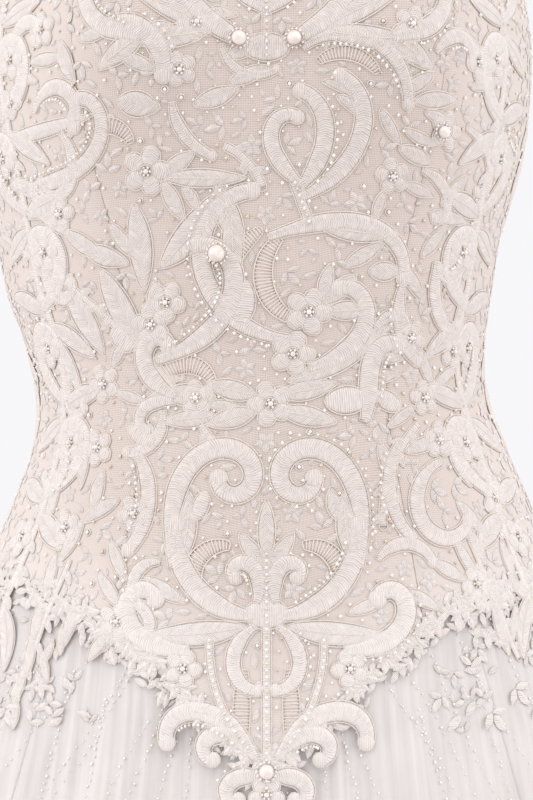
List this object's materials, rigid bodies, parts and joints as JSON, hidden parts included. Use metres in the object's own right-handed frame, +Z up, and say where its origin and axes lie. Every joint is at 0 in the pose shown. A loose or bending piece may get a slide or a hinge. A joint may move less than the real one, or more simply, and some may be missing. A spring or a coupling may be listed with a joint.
{
  "type": "wedding dress",
  "caption": "Strapless wedding dress in its hollow worn form: lace-covered bodice with a pointed dropped waist, and a full fluted net skirt over a plain underskirt.",
  "frame": {"origin": "middle of the waist, on the axis of the hollow that the wearer fills", "axes": "+Z up towards the neckline, -Y to the front, +X to the wearer's left"},
  "size_m": [1.1633, 1.1219, 1.3333],
  "materials": {
    "net_over_lining": "fine net over matt blush lining",
    "lace": "ivory satin-stitched lace",
    "net": "soft ivory net",
    "satin": "ivory satin",
    "zip_tape": "woven ivory tape",
    "zip_metal": "polished nickel"
  },
  "bodies": {
    "dress": {"bodice_back_left": "net_over_lining", "bodice_back_right": "net_over_lining", "bodice_centre_front": "net_over_lining", "bodice_side_back_left": "net_over_lining", "bodice_side_back_right": "net_over_lining", "bodice_side_front_left": "net_over_lining", "bodice_side_front_right": "net_over_lining", "lace_bust": "lace", "lace_front": "lace", "lace_medallion": "lace", "lace_side_back_left": "lace", "lace_side_back_right": "lace", "lace_side_left": "lace", "lace_side_right": "lace", "skirt_back_left": "net", "skirt_back_right": "net", "skirt_front": "net", "skirt_side_left": "net", "skirt_side_right": "net", "underskirt_back": "satin", "underskirt_front": "satin", "underskirt_side_left": "satin", "underskirt_side_right": "satin", "zip_slider": "zip_metal", "zip_tape": "zip_tape"},
    "pull": {"zip_pull": "zip_metal"}
  },
  "joints": [
    {"name": "zip_pull_swing", "type": "hinge", "parent": "dress", "child": "pull", "pos_m": [0, 0.10677, 0.114], "axis": [1, 0, 0], "range_deg": [0, 150]}
  ]
}
